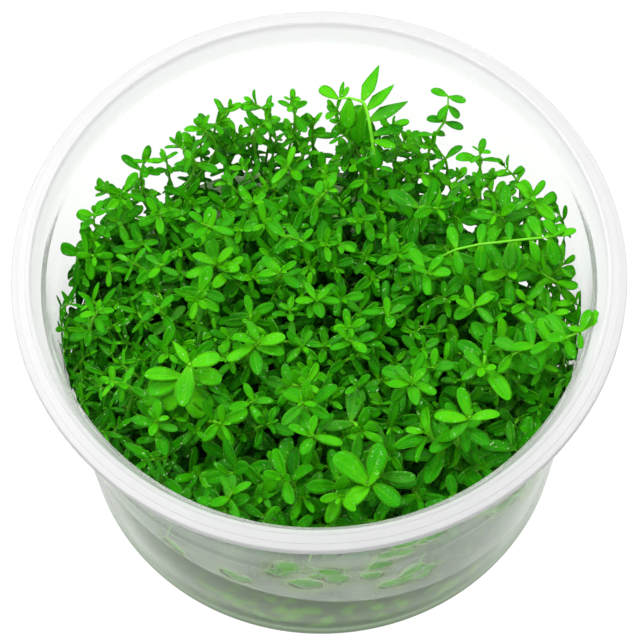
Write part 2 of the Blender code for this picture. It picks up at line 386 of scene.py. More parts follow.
# %% Turn a section into a piece
def ringed_piece(name, first, rings, last):
    """A closed solid through rings of as many points each, with poles at the heights first and last."""
    bm = bmesh.new()
    loops = [[bm.verts.new(point) for point in ring] for ring in rings]
    first, last = bm.verts.new((0.0, 0.0, first)), bm.verts.new((0.0, 0.0, last))
    count = len(loops[0])
    for step in range(count):
        after = (step + 1) % count
        bm.faces.new((first, loops[0][step], loops[0][after]))
        bm.faces.new((last, loops[-1][after], loops[-1][step]))
        for inner, outer in zip(loops, loops[1:]):
            bm.faces.new((inner[step], outer[step], outer[after], inner[after]))
    piece = bpy.data.objects.new(name, finished_mesh(name, bm))
    scene.collection.objects.link(piece)
    return piece


def finished_mesh(name, bm):
    """A smooth mesh whose faces point outwards."""
    bmesh.ops.recalc_face_normals(bm, faces=bm.faces)
    for face in bm.faces:
        face.smooth = True
    mesh = bpy.data.meshes.new(name)
    bm.to_mesh(mesh)
    bm.free()
    return mesh


def turns(segments):
    return [2 * math.pi * step / segments for step in range(segments)]


def level_ring(radius, height, segments):
    return [(radius * math.cos(angle), radius * math.sin(angle), height) for angle in turns(segments)]


CUP_SEGMENTS = 224
rings = [level_ring(radius, height, CUP_SEGMENTS) for radius, height in section[1:-1]]
cup = ringed_piece("cup_moulded", section[0].y, rings, section[-1].y)
print("cup:", len(cup.data.polygons), "faces")

# %% [markdown]
# ## Leaves that touch the wall
#
# In front some shoots hang down and lie flat and wet against the inside of the wall. Where a leaf
# touches the plastic it wipes the mist away, so it shows as a sharp oval. The places of these leaves
# serve twice, for the plastic and for the leaves, so they are listed first: the angle from the front,
# towards the right, and the height. A length of 0 is a bend of the stem without a leaf.

# %% List the sprays at the wall
WALL_CLEARANCE = 0.55 * MM
SPRAYS = (
    # angle, height, direction from level, length
    (
        (-2.6, 46, 0, 0), (-4.1, 38, 0, 0), (-1.6, 35.3, -39, 4.0), (-10.7, 33.0, 55, 4.6),
        (-13.8, 31.6, 11, 3.9), (-4.1, 31.3, 23, 3.1), (0.0, 32.5, -50, 4.3), (-8.7, 27.6, -1, 5.1),
    ),
    (
        (27.0, 47, 0, 0), (21.3, 41.2, -8, 3.3), (19.8, 40.4, -3, 3.0), (14.0, 41.6, 19, 4.5),
        (14.8, 39.0, -27, 3.4), (10.8, 39.0, -2, 3.4), (8.8, 33.6, 16, 3.7), (7.4, 30.8, -28, 3.8),
    ),
    (
        (22.0, 34, 0, 0), (20.8, 25.6, -37, 3.4), (17.3, 24.0, 44, 4.5), (15.4, 20.6, 54, 4.6),
        (20.2, 21.0, 5, 2.8), (11.6, 23.6, -20, 3.8),
    ),
    (
        (36, 47, 0, 0), (32.7, 42.2, -1, 2.6), (26.8, 43.0, 22, 2.5), (34.9, 39.5, 4, 4.1),
        (40.2, 34.5, -25, 4.2), (42.6, 34, -30, 5.0), (49, 31, -39, 4.5), (52, 27.5, -60, 4.0),
    ),
    (
        (-33, 46, 0, 0), (-38.8, 27.0, -26, 2.9), (-36.6, 26.4, -51, 2.6), (-30, 26.6, 0, 0),
        (-24.2, 26.4, -35, 3.0), (-21.5, 25.0, -12, 3.1), (-23.2, 24.4, -15, 2.6),
    ),
)


def wall_place(degrees, level, clearance):
    """A point inside the wall, so far from its inner face."""
    angle = math.radians(degrees)
    radius = wall_radius(level * MM) - clearance
    return Vector((radius * math.sin(angle), -radius * math.cos(angle), level * MM))


def leaf_line(degrees, direction):
    """The direction of a leaf that lies against the wall."""
    angle, rise = math.radians(degrees), math.radians(direction)
    return Vector((math.cos(rise) * math.cos(angle), math.cos(rise) * math.sin(angle), math.sin(rise)))


leaves_at_wall = [leaf for spray in SPRAYS for leaf in spray if leaf[3] > 0]
print(len(SPRAYS), "sprays with", len(leaves_at_wall), "leaves")

# %% [markdown]
# ## Milky plastic
#
# Polypropylene this thin lets most light through but blurs what is behind it. Plain glass would be
# too clear, and a see-through alpha wouldn't blur, so the plastic is a rough transmission shader. Its
# refractive index is far below the real 1.49, at which the thin wall would mirror the white floor and
# hide what is behind it.
#
# A second, whiter shader is the mist on the inside of the wall. It covers the front half only, ends at
# the gel and thins out near the tuft. Leaves that touch the wall wipe it away. An ellipse has a simple
# rule, the sum of the distances to two points, so each wiped oval takes only a few nodes. The ovals sit
# a little above the leaves' own places, because a leaf lies just inside the wall and is seen from
# above. The back has a faint haze, the lid seat is milkier than the wall, and the flange milkier still.

# %% Finish the cup
GEL_MIDDLE = 18.7 * MM
GEL_SLOPE = -0.20
TAPER = (wall_radius(SEAT_HEIGHT) - wall_radius(0.0)) / SEAT_HEIGHT
OVAL_ENDS = (0.34, 0.72)
OVAL_RISE = 1.15 * MM
WALL_LEAF_SIZE = 1.2
WALL_INDEX, MIST_INDEX, GEL_INDEX = 1.06, 1.46, 1.15
CLEAR_WALL, CLEAR_FOOT = (0.98, 0.99, 0.98, 1.0), (0.08, 0.15, 0.06, 1.0)
WALL_MIST, LEAFY_MIST = (0.50, 0.62, 0.47, 1.0), (0.36, 0.66, 0.08, 1.0)
SEAT_MIST, FLANGE_MIST = (0.70, 0.69, 0.71, 1.0), (0.575, 0.57, 0.58, 1.0)


def beyond_leaves(place):
    """How far a place on the wall is outside the nearest leaf that touches it, as a share of the leaf."""
    nearest = None
    for degrees, level, direction, length in leaves_at_wall:
        foot = wall_place(degrees, level, 0.0) + Vector((0.0, 0.0, OVAL_RISE))
        reach = leaf_line(degrees, direction) * length * WALL_LEAF_SIZE * MM
        ends = [place.vector("DISTANCE", foot + reach * share, output="Value") for share in OVAL_ENDS]
        outside = (ends[0] + ends[1]) / reach.length - 1.0
        nearest = nearest.math("MINIMUM", outside) if nearest else outside
    return nearest


cup_finish, start = start_finish("milky_plastic")
place = place_on(start)
across = start.node("ShaderNodeSeparateXYZ", None, {0: place}, "X")
height = across.also("Z")
radius = place.vector("MULTIPLY", (1.0, 1.0, 0.0)).vector("LENGTH", output="Value")
inner_face = (radius - height * TAPER).math("LESS_THAN", wall_radius(0.0) + 0.5 * WALL)
above_gel = held((height - across * GEL_SLOPE - GEL_MIDDLE) / (1.0 * MM))
below_tuft = held(1 - (height - 40 * MM) / (9 * MM))
at_front = held(0.6 - across.also("Y") / (26 * MM))
at_left = held(across / (-40 * MM))
at_foot = held(1.5 - height / (3.5 * MM))
at_rim = held((height - (SEAT_HEIGHT - 0.6 * MM)) / (1.6 * MM))
on_flange = held((radius - (CREST_RADIUS - 0.4 * MM)) / (0.4 * MM))

outside = beyond_leaves(place)
unwiped = held((outside + 0.12) * 5) * 0.65
bright_ring = held(1 - (outside - 0.06).math("ABSOLUTE") * 12) * 0.25
misty = unwiped + bright_ring + 0.35
fog_depth = place.noise(70.0, 3.0) * 0.50 + at_left * 0.12 + 0.17
fog = inner_face * above_gel * (below_tuft * at_front * fog_depth * misty + (1 - at_front) * 0.07) + 0.02
fog = fog * (1 - at_rim) + at_rim * (on_flange * 0.45 + 0.35)
near_leaves = held(1 - outside * 0.9) * 0.55
mist_colour = at_rim.blend(near_leaves.blend(WALL_MIST, LEAFY_MIST), SEAT_MIST)
mist_colour = on_flange.blend(mist_colour, FLANGE_MIST)
ripple = place.noise(60.0, 2.0)
bump = start.node("ShaderNodeBump", None, {"Strength": 0.08, "Distance": 0.0004, "Height": ripple})
clear_colour = at_foot.blend(CLEAR_WALL, CLEAR_FOOT)
clear = start.surface(
    Base_Color=clear_colour, Roughness=0.15, IOR=WALL_INDEX, Transmission_Weight=1.0, Normal=bump
)
mist = start.surface(Base_Color=mist_colour, Roughness=0.5, IOR=MIST_INDEX, Transmission_Weight=0.35)
close_finish(start.node("ShaderNodeMixShader", None, {0: fog, 1: clear, 2: mist}))
cup.data.materials.append(cup_finish)
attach(cup, "root")
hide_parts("cup")
print("cup finish has", len(cup_finish.node_tree.nodes), "nodes")

# %% [markdown]
# ## The gel
#
# The gel was poured in hot and set while the cup stood on a slant, so it is a disc with a flat top
# that is higher on the left and climbs a little where it wets the wall. The wall is tapered, so the
# top's edge is found for every angle from the two slopes. The finish is a jelly clouded by nutrients,
# with the green of drowned leaves near the foot.

# %% Cast the gel
GEL_GAP = 0.3 * MM
GEL_MENISCUS = 0.35 * MM
GEL_SEGMENTS = 160
GEL_TOP_RINGS = ((1.0, 1.0), (0.99, 0.35), (0.975, 0.1), (0.95, 0.0), (0.6, 0.0), (0.3, 0.0))
GEL_CORNER = ((1.6 * MM, 0.0), (0.5 * MM, 0.25 * MM), (0.0, 1.2 * MM))
GEL_DARK, GEL_PALE, DROWNED_LEAVES = (
    (0.060, 0.115, 0.042, 1.0), (0.125, 0.200, 0.092, 1.0), (0.15, 0.41, 0.03, 1.0),
)


def gel_height(x):
    return GEL_MIDDLE + GEL_SLOPE * x


def gel_edge(angle):
    """The radius at which the slanting top meets the tapered wall."""
    return (wall_radius(GEL_MIDDLE) - GEL_GAP) / (1 - TAPER * GEL_SLOPE * math.cos(angle))


gel_bottom = FLOOR_TOP + GEL_GAP
rings = []
for inset, lift in GEL_CORNER:
    level = gel_bottom + lift
    rings.append(level_ring(wall_radius(level) - GEL_GAP - inset, level, GEL_SEGMENTS))
for share, climb in GEL_TOP_RINGS:
    ring = []
    for angle in turns(GEL_SEGMENTS):
        x, y = share * gel_edge(angle) * math.cos(angle), share * gel_edge(angle) * math.sin(angle)
        ring.append((x, y, gel_height(x) + climb * GEL_MENISCUS))
    rings.append(ring)
gel = ringed_piece("gel_cast", gel_bottom, rings, GEL_MIDDLE)

gel_finish, start = start_finish("clouded_gel")
place = place_on(start)
height = start.node("ShaderNodeSeparateXYZ", None, {0: place}, "Z")
clump = place.vector("MULTIPLY", (1.0, 1.0, 0.7)).noise(330.0, 2.0)
low = held(1 - height / (22 * MM))
drowned = held((clump - 0.56 + low * 0.14) * 6) * 0.7
gel_colour = drowned.blend(place.noise(120.0, 4.0).blend(GEL_DARK, GEL_PALE), DROWNED_LEAVES)
close_finish(start.surface(Base_Color=gel_colour, Roughness=0.22, IOR=GEL_INDEX, Transmission_Weight=0.1))
gel.data.materials.append(gel_finish)
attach(gel, "root")
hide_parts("gel")
top_heights = [round(gel_height(x) / MM, 1) for x in (-0.045, 0.045)]
print("gel:", len(gel.data.polygons), "faces, top from", top_heights)

# %% [markdown]
# ## Leaf forms
#
# A leaf of dwarf rotala is a few millimetres long, narrow at its foot, widest past the middle and
# blunt at the end. Thousands are needed, so each form has only some fifty faces: rings of eight points
# along the leaf, closed at both ends. Five rounded forms differ in width, droop and cupping. The
# others are pointed, fine, broad, very plain for the deep shade, cut off, and nearly round for the
# wall. Each form stores how far along and across the leaf a point lies, which the finish reads.

# %% Model the leaf forms
LEAF_ROWS = (0.0, 0.16, 0.36, 0.56, 0.74, 0.89, 0.975)
LEAF_ACROSS = (-1.0, -0.5, 0.0, 0.5, 1.0, 0.5, 0.0, -0.5)
SHADE_ROWS = (0.0, 0.30, 0.62, 0.92)
SHADE_ACROSS = (-1.0, 0.0, 1.0, 0.0)
LEAF_THICKNESS = 0.05
LEAF_FORMS = (
    # width, widest place, droop, cup, twist, point, bluntness
    (0.42, 0.56, 0.06, 0.16, 0.10, 0.0, 2.3),
    (0.38, 0.60, 0.14, 0.22, -0.16, 0.0, 2.5),
    (0.46, 0.57, 0.02, 0.10, 0.18, 0.0, 2.3),
    (0.40, 0.62, 0.22, -0.10, 0.04, 0.0, 2.6),
    (0.47, 0.60, 0.10, 0.20, -0.22, 0.0, 2.3),
    (0.34, 0.42, -0.10, 0.16, 0.10, 1.0, 2.4),
    (0.26, 0.50, 0.04, 0.14, 0.22, 0.35, 2.4),
    (0.54, 0.62, 0.12, 0.10, -0.08, 0.0, 3.1),
    (0.46, 0.60, 0.10, 0.12, 0.00, 0.0, 2.4),
    (0.46, 0.80, 0.00, 0.06, 0.00, 0.0, 9.0),
    (0.98, 0.55, 0.00, 0.02, 0.00, 0.0, 2.2),
)
POINTED, FINE, BROAD, SHADE, CUT, WALL_LEAF = 5, 6, 7, 8, 9, 10
ROUND_FORMS = 5


def half_width(along, widest, point, bluntness):
    """The leaf's half width as a share of its greatest, at a place from 0, the foot, to 1, the tip."""
    if along <= widest:
        return 0.20 + 0.80 * math.sin(math.pi / 2 * along / widest) ** 1.15
    rest = (along - widest) / (1 - widest)
    blunt = math.sqrt(max(0.0, 1 - rest**bluntness))
    return blunt * (1 - point) + (1 - rest) ** 0.8 * point


def leaf_mesh(name, rows, across, width, widest, droop, cup, twist, point, bluntness):
    """One leaf of length 1 along X with its face up, closed all round."""
    bm = bmesh.new()
    layers = [bm.verts.layers.float.new(key) for key in ("leaf_along", "leaf_across", "leaf_under")]

    def add(along, side, below):
        lateral = side * 0.5 * width * half_width(along, widest, point, bluntness)
        thick = 0.5 * LEAF_THICKNESS * math.sqrt(max(0.0, 1 - side * side)) * (1 - 0.6 * along)
        level = cup * (lateral / width) ** 2 * 4 * width - droop * along * along
        crease = -0.055 * (1 - abs(side)) ** 2 * (1 - 0.7 * along)
        level += crease + (-thick if below else thick)
        turn = twist * along
        vert = bm.verts.new((along, lateral * math.cos(turn), level + lateral * math.sin(turn)))
        for layer, value in zip(layers, (along, side, float(below))):
            vert[layer] = value
        return vert

    count = len(across)
    rings = [[add(row, side, step > count // 2) for step, side in enumerate(across)] for row in rows]
    tip = add(1.0, 0.0, 0)
    for step in range(count):
        after = (step + 1) % count
        for near, far in zip(rings, rings[1:]):
            bm.faces.new((near[step], near[after], far[after], far[step]))
        bm.faces.new((rings[-1][step], rings[-1][after], tip))
    bm.faces.new(list(reversed(rings[0])))
    return finished_mesh(name, bm)


leaf_collection = bpy.data.collections.new("leaf_forms")
for number, form in enumerate(LEAF_FORMS):
    form_name = f"leaf_{number}"
    rows, sides = (SHADE_ROWS, SHADE_ACROSS) if number == SHADE else (LEAF_ROWS, LEAF_ACROSS)
    mesh = leaf_mesh(form_name, rows, sides, *form)
    leaf_collection.objects.link(bpy.data.objects.new(form_name, mesh))

# %% [markdown]
# ## Leaf and stem finishes
#
# Young leaves are a light yellow green, old ones a deep green. One finish does them all: each leaf
# carries its age and a random tint, and a colour ramp turns the two into green. The age also carries
# painted light and shade: the loose back row is painted lighter, the undergrowth darkest. The midrib,
# the margin and the foot are paler, the underside duller, and a fine noise stands for the cells that
# show through. Light falls through a leaf, so a translucent share is mixed in. Leaves that lie against
# the wall have a painted highlight, a near-white edge. The wet film is a coat in spots, and tiny pale
# dots and pale streaks on some edges are painted highlights for its sparkle.

# %% Finish the leaves
GREENS = (
    (0.0, (0.080, 0.530, 0.002, 1.0)),
    (0.25, (0.037, 0.400, 0.001, 1.0)),
    (0.55, (0.016, 0.290, 0.001, 1.0)),
    (0.85, (0.007, 0.195, 0.001, 1.0)),
    (1.0, (0.003, 0.100, 0.001, 1.0)),
)
RIB_GREEN, MARGIN_GREEN = (0.13, 0.52, 0.006, 1.0), (0.15, 0.50, 0.02, 1.0)
DULL_GREEN, UNDER_GREEN = (0.085, 0.38, 0.025, 1.0), (0.040, 0.300, 0.010, 1.0)
# Painted highlights: a near-white edge for leaves that lie against the wall, and the pale glints of the wet
# film.
PAINTED_EDGE_HIGHLIGHT, SPARKLE = (0.85, 0.90, 0.84, 1.0), (0.50, 0.82, 0.36, 1.0)


def carried(start, name):
    """A number that the mesh carries, from its attribute of this name."""
    settings = {"attribute_type": "GEOMETRY", "attribute_name": name}
    return start.node("ShaderNodeAttribute", settings, None, "Fac")


leaf_finish, start = start_finish("rotala_leaf")
along, under, tint = carried(start, "leaf_along"), carried(start, "leaf_under"), carried(start, "tint")
side = carried(start, "leaf_across").math("ABSOLUTE")
# The age also carries painted light and shade: lighter leaves in the back row, the darkest in the
# undergrowth.
age = held(carried(start, "age") + (tint - 0.5) * 0.36)
wet, pressed = carried(start, "wet"), carried(start, "pressed")
place = place_on(start)
cells = place.noise(1500.0, 3.0)
patches = place.noise(420.0, 2.0)
beads = place.noise(1000.0, 1.0)
sparks = place.noise(1700.0, 0.0)
grain = start.node("ShaderNodeCombineXYZ", None, {0: side * 11, 1: along * 1.6, 2: tint * 70}).noise(1.0, 2.0)
mottle = (patches - 0.5) * 0.40 + (cells - 0.5) * 0.16 + (grain - 0.5) * 0.5
shade = positive(age + mottle + along * 0.16 - 0.08)
green = start.node("ShaderNodeValToRGB", {"stops": GREENS}, {"Fac": shade}, "Color")
midrib = positive(1 - side * 6) * (1 - along * 0.8) * 0.50
veins = ((along * 46 + side * 9).math("SINE") * 0.5 + 0.5) * 0.10
foot = positive(1 - along * 4.0) * 0.7
green = (midrib + veins + foot).math("MINIMUM", 1.0).blend(green, RIB_GREEN)
green = (positive(side - 0.80) * 2.2).blend(green, MARGIN_GREEN)
green = (positive(tint * 6 - 5.2).math("MINIMUM", 0.5) * age).blend(green, DULL_GREEN)
green = (under * 0.5).blend(green, UNDER_GREEN)
# Painted highlight: leaves pressed against the wall get a near-white edge.
green = (positive(side - 0.55) * 1.8 * pressed).blend(green, PAINTED_EDGE_HIGHLIGHT)
# Painted highlights: tiny pale dots, and pale streaks on some edges, stand for glints on the wet leaves.
painted_glint_specks = held((sparks - 0.75) * 20) * (wet * 0.7 + 0.3)
painted_edge_glints = held((side - 0.88) * 8) * held((patches - 0.58) * 12) * (wet * 0.5 + 0.1)
green = held(painted_glint_specks + painted_edge_glints).blend(green, SPARKLE)
gloss = 0.46 - wet * 0.22 + (cells - 0.5) * 0.18
film = held(beads * 10 - 5.8) * (wet * 0.6 + 0.3)
relief = cells * 0.5 + grain * 0.9 + veins * 2 - midrib
bump = start.node("ShaderNodeBump", None, {"Strength": 0.35, "Distance": 0.00012, "Height": relief})
surface = start.surface(
    Base_Color=green, Roughness=gloss, IOR=1.42, Specular_IOR_Level=0.08,
    Coat_Weight=film, Coat_Roughness=0.22, Coat_IOR=1.4, Normal=bump,
)
glow = start.node("ShaderNodeBsdfTranslucent", None, {"Color": green})
close_finish(start.node("ShaderNodeMixShader", None, {0: 0.35, 1: surface, 2: glow}))
print("leaf finish has", len(leaf_finish.node_tree.nodes), "nodes")

# %% Finish the stems
STEM_GREENS = ((0.0, (0.13, 0.50, 0.01, 1.0)), (0.5, (0.10, 0.42, 0.01, 1.0)), (1.0, (0.06, 0.30, 0.01, 1.0)))

stem_finish, start = start_finish("rotala_stem")
streaks = place_on(start).noise(700.0, 3.0)
stem_age = carried(start, "age") + (streaks - 0.5) * 0.5
stem_green = start.node("ShaderNodeValToRGB", {"stops": STEM_GREENS}, {"Fac": stem_age}, "Color")
gloss = 0.38 + streaks * 0.15
close_finish(start.surface(Base_Color=stem_green, Roughness=gloss, IOR=1.42, Specular_IOR_Level=0.3))
print("stem finish has", len(stem_finish.node_tree.nodes), "nodes")

# %% [markdown]
# ## A tree that grows leafy stems
#
# At each node of a stem stands a pair of leaves, crossed with the pair below. That is work for
# Geometry Nodes. The input is a chain of points along each stem, from the tip down, which carry the
# leaf's size, lift, turn, form and age. The tree draws the stem through them, sets a leaf and its
# opposite on each and varies them with fixed seeds. A point marked as solo bears one leaf only, and
# its turn is a bearing seen from above. At the end what would reach the wall is pressed softly inside.

# %% Build the leafy stem tree
GIVE = 1.8 * MM  # the depth in front of the wall over which leaves are bent inwards
TREE_INPUTS = (
    ("Stem Sides", "Int", 6), ("Spread", "Float", 1.0), ("Give", "Float", GIVE), ("Seed", "Int", 0),
)
LEAF_CLEARANCE = 0.35 * MM
TOP_CLEARANCE = 0.2 * MM


def named(start, name, kind="FLOAT"):
    """A number that the points carry, inside a Geometry Nodes tree."""
    return start.node("GeometryNodeInputNamedAttribute", {"data_type": kind}, {"Name": name}, "Attribute")


def random_number(start, low, high, seed):
    values = {2: low, 3: high, 8: seed}
    return start.node("FunctionNodeRandomValue", {"data_type": "FLOAT"}, values, 1)


def leaf_side(start, stems, forms, inputs, opposite):
    """One leaf at every node that has a size. The opposite one is turned half round the stem."""
    seed = inputs["Seed"] + 100 * opposite
    solo = named(start, "solo")
    spread = inputs["Spread"] * (1 - solo * 0.8)
    size = named(start, "leaf_size")
    turn = named(start, "leaf_turn") + math.pi * opposite
    turn = turn + random_number(start, -0.30, 0.30, seed) * spread
    lift = named(start, "leaf_lift") + random_number(start, -0.24, 0.24, seed + 1) * spread
    bank = named(start, "leaf_bank") + random_number(start, -0.35, 0.35, seed + 2) * spread
    scale = size * (1 + random_number(start, -0.16, 0.12, seed + 3) * spread)
    plumb = start.node("ShaderNodeCombineXYZ", None, {"Z": solo})
    upward = start.node("GeometryNodeInputTangent").scaled(solo - 1).vector("ADD", plumb)
    upright = start.node("FunctionNodeAlignRotationToVector", {"axis": "Z"}, {"Vector": upward})
    angles = start.node("ShaderNodeCombineXYZ", None, {0: bank, 1: lift * -1, 2: turn})
    local = start.node("FunctionNodeEulerToRotation", None, {0: angles})
    rotation = start.node("FunctionNodeRotateRotation", {"rotation_space": "LOCAL"}, {0: upright, 1: local})
    shown = size * (1 - solo) if opposite else size
    above = {"data_type": "FLOAT", "operation": "GREATER_THAN"}
    values = {
        "Points": stems,
        "Selection": start.node("FunctionNodeCompare", above, {0: shown, 1: 0.0}),
        "Instance": forms,
        "Pick Instance": True,
        "Instance Index": named(start, "leaf_form", "INT"),
        "Rotation": rotation,
        "Scale": scale,
    }
    leaves = start.node("GeometryNodeInstanceOnPoints", None, values)
    settings = {"data_type": "FLOAT", "domain": "INSTANCE"}
    values = {"Geometry": leaves, "Name": "tint", "Value": random_number(start, 0.0, 1.0, seed + 4)}
    return start.node("GeometryNodeStoreNamedAttribute", settings, values)


def softly_held(wire, limit, give):
    """The value, which above the limit rises ever more slowly, and never by more than give."""
    past = positive(wire - limit)
    return wire.math("MINIMUM", limit) + (1 - (past / give * -1).math("EXPONENT")) * give


def pressed_inside(start, geometry, give):
    """Moves what would cross the wall or stand above the rim back inside."""
    position = start.node("GeometryNodeInputPosition")
    flat = position.vector("MULTIPLY", (1.0, 1.0, 0.0))
    radius = flat.vector("LENGTH", output="Value")
    height = start.node("ShaderNodeSeparateXYZ", None, {0: position}, "Z")
    seat_slope = (CREST_RADIUS - SEAT_RADIUS) / (CUP_HEIGHT - SEAT_HEIGHT)
    above_seat = positive(height - SEAT_HEIGHT)
    limit = height * TAPER + above_seat * (seat_slope - TAPER) + (wall_radius(0.0) - LEAF_CLEARANCE) - give
    factor = softly_held(radius, limit, give) / radius.math("MAXIMUM", 0.1 * MM)
    new_height = softly_held(height, CUP_HEIGHT - TOP_CLEARANCE - give, give)
    target = flat.scaled(factor).vector("ADD", start.node("ShaderNodeCombineXYZ", None, {"Z": new_height}))
    return start.node("GeometryNodeSetPosition", None, {"Geometry": geometry, "Position": target})


def joined(start, *geometries):
    whole = start.node("GeometryNodeJoinGeometry")
    for geometry in geometries:
        start.tree.links.new(geometry.socket, whole.socket.node.inputs[0])
    return whole


def leafy_stem_tree():
    tree = bpy.data.node_groups.new("leafy_stems", "GeometryNodeTree")
    tree.interface.new_socket("Stems", in_out="INPUT", socket_type="NodeSocketGeometry")
    for name, kind, default in TREE_INPUTS:
        socket = tree.interface.new_socket(name, in_out="INPUT", socket_type="NodeSocket" + kind)
        socket.default_value = default
    tree.interface.new_socket("Geometry", in_out="OUTPUT", socket_type="NodeSocketGeometry")
    start = Wire(tree)
    entry = start.node("NodeGroupInput", None, None, "Stems")
    inputs = {name: entry.also(name) for name, _, _ in TREE_INPUTS}
    stems = start.node("GeometryNodeMeshToCurve", None, {"Mesh": entry})
    values = {"Resolution": inputs["Stem Sides"], "Radius": 1.0}
    circle = start.node("GeometryNodeCurvePrimitiveCircle", None, values)
    girth = named(start, "stem_radius")
    values = {"Curve": stems, "Profile Curve": circle, "Scale": girth, "Fill Caps": True}
    tubes = start.node("GeometryNodeCurveToMesh", None, values)
    tubes = start.node("GeometryNodeSetMaterial", None, {"Geometry": tubes, "Material": stem_finish})
    values = {"Collection": leaf_collection, "Separate Children": True, "Reset Children": True}
    forms = start.node("GeometryNodeCollectionInfo", None, values)
    leaves = joined(start, *(leaf_side(start, stems, forms, inputs, opposite) for opposite in (0, 1)))
    leaves = start.node("GeometryNodeSetMaterial", None, {"Geometry": leaves, "Material": leaf_finish})
    real = start.node("GeometryNodeRealizeInstances", None, {"Geometry": joined(start, tubes, leaves)})
    start.node("NodeGroupOutput", None, {"Geometry": pressed_inside(start, real, inputs["Give"])})
    return tree


stem_tree = leafy_stem_tree()
print("leafy stem tree has", len(stem_tree.nodes), "nodes")

# %% [markdown]
# ## From a plan of stems to a plant
#
# A plan collects the points of one piece's stems and what each carries. A shoot's leaves follow a
# table read from the tip down: a bud of two tiny upright leaves, then pairs that grow, spread out and
# stand further apart. Where the photograph shows single leaves clearly, their bearings are given
# instead and the pairs begin below them. The plan becomes a mesh of points and edges, the tree
# dresses it, and the evaluated result is kept as a plain mesh.

# %% Collect stems in a plan
PAIR_SPACING = (0.0, 0.5, 0.9, 1.5, 2.3, 3.0, 3.6, 4.0)
PAIR_LENGTH = (1.3, 2.8, 4.1, 4.8, 5.0, 4.9, 4.6, 4.3)
PAIR_LIFT = (68, 48, 30, 16, 6, -2, -8, -12)
PAIR_AGE = (0.0, 0.10, 0.24, 0.40, 0.55, 0.68, 0.80, 0.88)
LAST_PAIR = len(PAIR_LENGTH) - 1
KEPT = ("age", "wet", "pressed")  # what the finishes read
CARRIED = ("leaf_size", "leaf_lift", "leaf_turn", "leaf_bank", "solo", "stem_radius", *KEPT)
LEAST_STEP = 0.05 * MM
HABIT = {
    "scale": 1.0,  # of the pairs
    "turn": 0.0,  # of the first pair round the stem, in radians
    # Besides youth this paints light and shade, the loose back row lighter and the undergrowth darkest; it
    # also makes the front darker.
    "fresh": 0.0,  # how much lighter the leaves are
    "wet": 0.0,
    "forms": None,  # the leaf forms in turn, or else any rounded one
    "leafy": 1.0,  # the share of the stem that bears leaves
    "thick": 0.36,  # the stem's radius in mm
    "open_up": 0.0,  # by how many degrees the upper pairs are lowered
    "spacing": 1.0,  # stretches the stem between the pairs
    "first": 0.0,  # where the pairs begin, in mm below the tip
    "skip": 0,  # how many pairs of the bud are left out
    "shade": 99,  # from this pair down the leaves are plain
}


def curve_through(points, count=60):
    """A smooth path through the points, and the distance along it, as arrays."""
    points = np.array(points, float)
    padded = np.vstack([2 * points[0] - points[1], points, 2 * points[-1] - points[-2]])
    spans = len(points) - 1
    path = []
    for index in range(spans):
        a, b, c, d = padded[index : index + 4]
        for t in np.linspace(0.0, 1.0, count // spans + 1)[: None if index == spans - 1 else -1]:
            square, cube = (2 * a - 5 * b + 4 * c - d) * t**2, (3 * b - a - 3 * c + d) * t**3
            path.append(0.5 * (2 * b + (c - a) * t + square + cube))
    path = np.array(path)
    steps = np.linalg.norm(np.diff(path, axis=0), axis=1)
    return path, np.concatenate([[0.0], np.cumsum(steps)])


def leaf_values(form, size, lift, turn, age, solo=0.0):
    """What a point carries for its leaves, from the lift and the turn in degrees."""
    lift, turn = math.radians(lift), math.radians(turn)
    return {"form": form, "leaf_size": size, "leaf_lift": lift, "leaf_turn": turn, "age": age, "solo": solo}


def pair_stations(source, total, habit):
    """(distance below the tip, what the point carries) for the pairs of leaves of one shoot."""
    below, level, stations = habit.first * MM, 0, []
    quarter = math.pi / 2 + source.uniform(-0.25, 0.25)
    while below < total:
        row, drop = min(level + habit.skip, LAST_PAIR), max(0, level + habit.skip - LAST_PAIR)
        size = PAIR_LENGTH[row] * habit.scale * MM * (0.96**drop) * source.uniform(0.9, 1.08)
        age = PAIR_AGE[row] + 0.03 * drop - habit.fresh + source.uniform(-0.08, 0.08)
        form = habit.forms[level % len(habit.forms)] if habit.forms else source.randrange(ROUND_FORMS)
        lift = PAIR_LIFT[row] - habit.open_up * max(0.0, 1 - 0.2 * level) + source.uniform(-6, 6)
        values = leaf_values(form, size, lift, 0.0, min(1.0, max(0.0, age)))
        values["leaf_turn"] = habit.turn + level * quarter + source.uniform(-0.16, 0.16)
        if level >= habit.shade:
            values["form"] = SHADE
        if below >= habit.leafy * total:
            values["leaf_size"] = 0.0
        stations.append((below, values))
        level += 1
        row = min(level + habit.skip, LAST_PAIR)
        below += PAIR_SPACING[row] * habit.scale * habit.spacing * source.uniform(0.85, 1.15) * MM
    return stations


